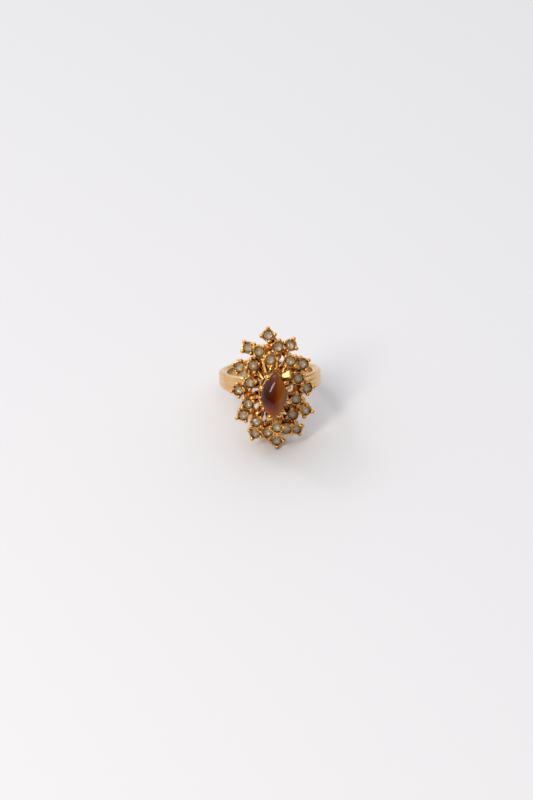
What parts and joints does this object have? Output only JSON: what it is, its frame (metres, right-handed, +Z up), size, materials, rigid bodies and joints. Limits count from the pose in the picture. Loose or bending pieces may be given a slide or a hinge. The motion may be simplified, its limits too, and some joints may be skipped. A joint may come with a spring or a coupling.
{
  "type": "cocktail ring",
  "caption": "Finger ring with a domed openwork spray of claw-set round stones about a raised navette cabochon, on a fluted band.",
  "frame": {"origin": "centre of the finger hole", "axes": "+Z up as the ring lies on a table; +X across the head; the head faces -Y and leans up, and the band's back is towards +Y"},
  "size_m": [0.0207, 0.0275, 0.0219],
  "materials": {
    "band_gold": "polished pale gold plate",
    "head_gold": "polished deep gold plate",
    "tigers_eye": "polished, chatoyant brown",
    "champagne_glass": "faceted, foil-backed paste"
  },
  "bodies": {
    "root": {"shank": "band_gold", "lower_gallery": "head_gold", "upper_gallery": "head_gold", "centre_setting": "head_gold", "centre_cabochon": "tigers_eye", "outer_setting_01": "head_gold", "outer_setting_02": "head_gold", "outer_setting_03": "head_gold", "outer_setting_04": "head_gold", "outer_setting_05": "head_gold", "outer_setting_06": "head_gold", "outer_setting_07": "head_gold", "outer_setting_08": "head_gold", "outer_setting_09": "head_gold", "outer_setting_10": "head_gold", "outer_setting_11": "head_gold", "outer_setting_12": "head_gold", "outer_stone_01": "champagne_glass", "outer_stone_02": "champagne_glass", "outer_stone_03": "champagne_glass", "outer_stone_04": "champagne_glass", "outer_stone_05": "champagne_glass", "outer_stone_06": "champagne_glass", "outer_stone_07": "champagne_glass", "outer_stone_08": "champagne_glass", "outer_stone_09": "champagne_glass", "outer_stone_10": "champagne_glass", "outer_stone_11": "champagne_glass", "outer_stone_12": "champagne_glass", "middle_setting_01": "head_gold", "middle_setting_02": "head_gold", "middle_setting_03": "head_gold", "middle_setting_04": "head_gold", "middle_setting_05": "head_gold", "middle_setting_06": "head_gold", "middle_setting_07": "head_gold", "middle_setting_08": "head_gold", "middle_setting_09": "head_gold", "middle_setting_10": "head_gold", "middle_setting_11": "head_gold", "middle_setting_12": "head_gold", "middle_stone_01": "champagne_glass", "middle_stone_02": "champagne_glass", "middle_stone_03": "champagne_glass", "middle_stone_04": "champagne_glass", "middle_stone_05": "champagne_glass", "middle_stone_06": "champagne_glass", "middle_stone_07": "champagne_glass", "middle_stone_08": "champagne_glass", "middle_stone_09": "champagne_glass", "middle_stone_10": "champagne_glass", "middle_stone_11": "champagne_glass", "middle_stone_12": "champagne_glass", "end_setting_1": "head_gold", "end_stone_1": "champagne_glass", "end_setting_2": "head_gold", "end_stone_2": "champagne_glass"}
  },
  "joints": []
}
